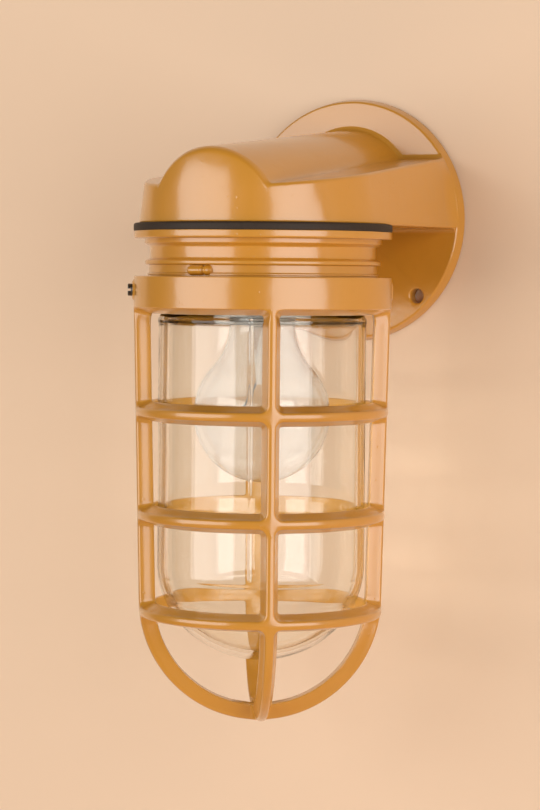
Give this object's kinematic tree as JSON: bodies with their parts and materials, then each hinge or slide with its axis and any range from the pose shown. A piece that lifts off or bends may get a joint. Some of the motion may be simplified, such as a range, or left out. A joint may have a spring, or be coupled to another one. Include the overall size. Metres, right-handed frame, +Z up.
{
  "type": "vapor wall light",
  "caption": "Cast vapor wall light with a round wall plate, hollow arm and hood, clear glass jar, bulb and a cage guard.",
  "frame": {"origin": "centre of the wall plate's back face, in the plane that touches the wall", "axes": "+Z up along the lamp's axis, +Y from the room into the wall, +X to the right of someone facing the wall"},
  "size_m": [0.1016, 0.1333, 0.2507],
  "materials": {
    "painted_casting": "gloss",
    "foam_rubber": "matte",
    "black_rubber": "matte",
    "jar_glass": "gloss",
    "bulb_glass": "gloss",
    "dark_steel": "satin",
    "zinc_steel": "satin",
    "porcelain": "gloss",
    "black_glass": "gloss",
    "brass": "satin",
    "base_aluminium": "satin",
    "tungsten": "matte",
    "green_screw": "gloss",
    "wire_black": "gloss",
    "wire_white": "gloss",
    "wire_green": "gloss"
  },
  "bodies": {
    "fixture": {"bracket": "painted_casting", "wall_gasket": "foam_rubber", "hood_gasket": "black_rubber", "globe_holder": "painted_casting", "socket_body": "porcelain", "socket_shell": "brass", "socket_contact": "brass", "socket_terminal_line": "brass", "socket_terminal_neutral": "zinc_steel", "socket_screw_right": "zinc_steel", "socket_screw_left": "zinc_steel", "ground_screw": "green_screw", "holder_screw_front_right": "zinc_steel", "holder_screw_back_right": "zinc_steel", "holder_screw_front_left": "zinc_steel", "holder_screw_back_left": "zinc_steel", "lead_line": "wire_black", "lead_neutral": "wire_white", "lead_ground": "wire_green"},
    "guard": {"guard": "painted_casting", "guard_set_screw_left": "dark_steel", "guard_set_screw_right": "dark_steel"},
    "globe_seal": {"globe_gasket": "black_rubber"},
    "globe": {"glass_globe": "jar_glass"},
    "bulb": {"bulb_glass": "bulb_glass", "bulb_base": "base_aluminium", "bulb_insulator": "black_glass", "bulb_contact": "brass", "bulb_stem": "bulb_glass", "bulb_support_right": "tungsten", "bulb_support_left": "tungsten", "bulb_filament": "tungsten"}
  },
  "joints": [
    {"name": "guard_drop", "type": "slide", "parent": "fixture", "child": "guard", "axis": [0, 0, -1], "range_m": [0, 0.17]},
    {"name": "globe_drop", "type": "slide", "parent": "fixture", "child": "globe_seal", "axis": [0, 0, -1], "range_m": [0, 0.0128]},
    {"name": "globe_turn", "type": "hinge", "parent": "globe_seal", "child": "globe", "pos_m": [0, -0.0825, -0.09], "axis": [0, 0, 1], "range_deg": [-720, 0]},
    {"name": "bulb_turn", "type": "hinge", "parent": "fixture", "child": "bulb", "pos_m": [0, -0.0825, -0.06], "axis": [0, 0, 1], "range_deg": [-360, 0]}
  ],
  "couplings": [
    {"joint": "globe_drop", "follows": "globe_turn", "m_per_rad": -0.0010106}
  ]
}
